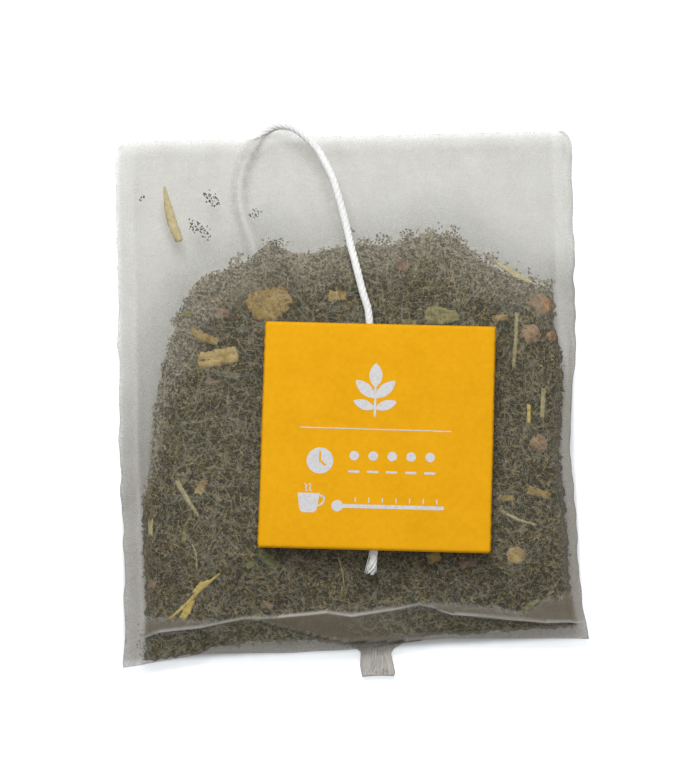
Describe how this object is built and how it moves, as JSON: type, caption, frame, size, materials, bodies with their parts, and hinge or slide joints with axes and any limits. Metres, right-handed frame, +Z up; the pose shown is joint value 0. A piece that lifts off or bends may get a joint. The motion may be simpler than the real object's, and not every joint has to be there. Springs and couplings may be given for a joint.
{
  "type": "flat tea bag",
  "caption": "Flat rectangular tea bag of see-through film with a herbal tea fill, a twisted thread and a square card tag.",
  "frame": {"origin": "centre of the bag's outline, on the plane the bag lies on", "axes": "+Z up out of the front film, +Y towards the top edge where the thread comes over, +X to the right seen from above"},
  "size_m": [0.0606, 0.0747, 0.0083],
  "materials": {
    "film": "see-through non-woven film, soft sheen",
    "tab_film": "doubled film with white fibres",
    "tea": "fine dry leaf crumbs, matte",
    "thread_white": "twisted cotton, matte",
    "card": "uncoated printed card, matte",
    "yellow_straw": "dry straw, matte",
    "dry_stem": "dry stem, matte",
    "dry_peel": "dried peel, matte",
    "green_leaf": "dried leaf, matte",
    "berry_skin": "dried berry skin, matte"
  },
  "bodies": {
    "root": {"berry_lower": "berry_skin", "berry_middle": "berry_skin", "berry_small": "berry_skin", "berry_upper": "berry_skin", "chip_pale": "dry_stem", "film_bag": "film", "leaf_bit": "dry_peel", "leaf_green": "green_leaf", "leaf_olive": "green_leaf", "peel_chunk": "dry_peel", "ribbed_stalk": "dry_peel", "seed_disc": "dry_peel", "sliver_upper": "yellow_straw", "stalk_inner": "yellow_straw", "stalk_outer": "dry_stem", "stem_green": "green_leaf", "stem_left": "dry_stem", "stem_right": "dry_stem", "straw_lower": "yellow_straw", "straw_split": "yellow_straw", "straw_thin": "dry_stem", "straw_upper": "yellow_straw", "strip_left": "dry_peel", "strip_lower": "dry_peel", "strip_middle": "dry_peel", "strip_small": "dry_peel", "strip_upper": "dry_peel", "tag": "card", "tea_bed": "tea", "thread": "thread_white", "thread_tab": "tab_film"}
  },
  "joints": []
}
